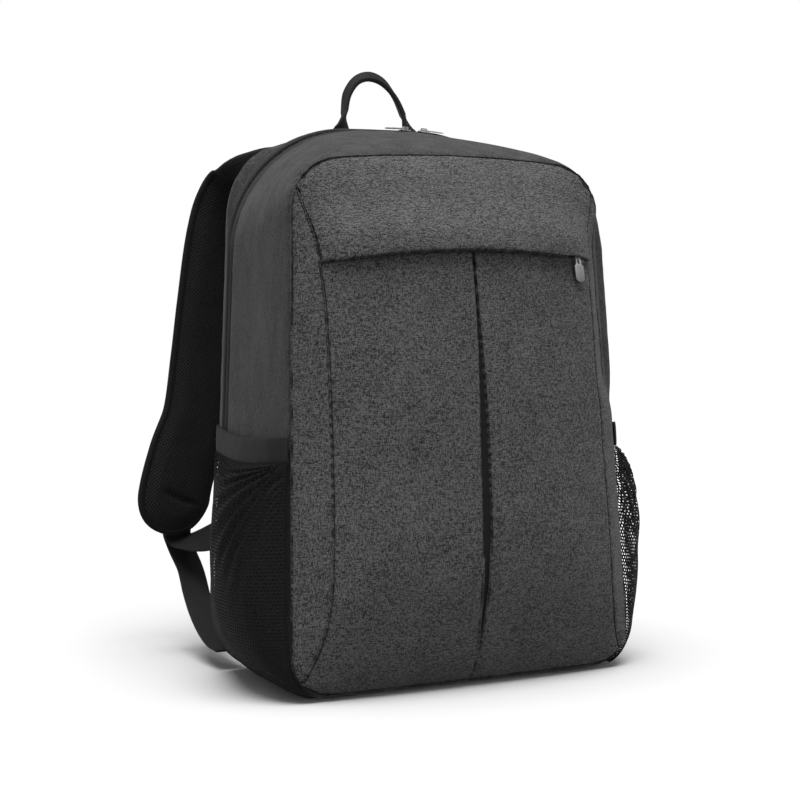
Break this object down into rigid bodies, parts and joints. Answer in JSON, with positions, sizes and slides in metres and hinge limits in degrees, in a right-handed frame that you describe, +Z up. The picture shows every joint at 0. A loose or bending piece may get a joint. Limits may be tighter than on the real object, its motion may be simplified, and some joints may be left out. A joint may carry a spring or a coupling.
{
  "type": "laptop backpack",
  "caption": "Laptop backpack in grey melange cloth with a zipped front pleat panel, side net pockets, padded shoulder straps and a webbing handle.",
  "frame": {"origin": "middle of the flat underside of the base, where the bag stands", "axes": "+Z up to the handle, +X to the right seen from the front, -Y towards the front pocket, +Y towards the shoulder straps"},
  "size_m": [0.3804, 0.3098, 0.4969],
  "materials": {
    "melange_cloth": "two-tone grey polyester in a plain weave with weft streaks, matt",
    "plain_cloth": "fine grey polyester with a faint speckle, matt",
    "black_cloth": "black polyester, padded with air mesh on the straps and the back, matt",
    "black_net": "open black knitted net",
    "black_webbing": "ribbed black webbing, slight sheen",
    "black_plastic": "moulded black plastic, satin",
    "grey_metal": "plated zinc, satin, silver-grey"
  },
  "bodies": {
    "bag": {"front_left": "melange_cloth", "front_right": "melange_cloth", "side_front_left": "melange_cloth", "side_front_right": "melange_cloth", "yoke": "melange_cloth", "gusset_front": "plain_cloth", "gusset_back": "plain_cloth", "base": "plain_cloth", "pleat_insert": "black_cloth", "front_zip": "black_cloth", "main_zip": "black_cloth", "back_panel": "black_cloth", "elastic_left": "black_cloth", "elastic_right": "black_cloth", "strap_left": "black_cloth", "strap_right": "black_cloth", "net_left": "black_net", "net_right": "black_net", "buckle_loop_left": "black_webbing", "buckle_loop_right": "black_webbing", "lower_web_left": "black_webbing", "lower_web_right": "black_webbing", "tail_left": "black_webbing", "tail_right": "black_webbing", "handle": "black_webbing", "buckle_left": "black_plastic", "buckle_right": "black_plastic", "slider_left": "grey_metal", "slider_right": "grey_metal", "front_slider": "grey_metal"},
    "tab_left": {"pull_tab_left": "grey_metal"},
    "tab_right": {"pull_tab_right": "grey_metal"},
    "tab_front": {"front_pull_tab": "grey_metal"}
  },
  "joints": [
    {"name": "tab_left_lift", "type": "hinge", "parent": "bag", "child": "tab_left", "pos_m": [0.019, 0.05866, 0.44733], "axis": [0, 1, 0.0087], "range_deg": [0, 115]},
    {"name": "tab_right_lift", "type": "hinge", "parent": "bag", "child": "tab_right", "pos_m": [0.03722, 0.05841, 0.44664], "axis": [0, -0.9929, -0.1186], "range_deg": [0, 115]},
    {"name": "tab_front_lift", "type": "hinge", "parent": "bag", "child": "tab_front", "pos_m": [0.10384, -0.07369, 0.33724], "axis": [-0.9593, -0.2813, 0.0263], "range_deg": [0, 55]}
  ]
}
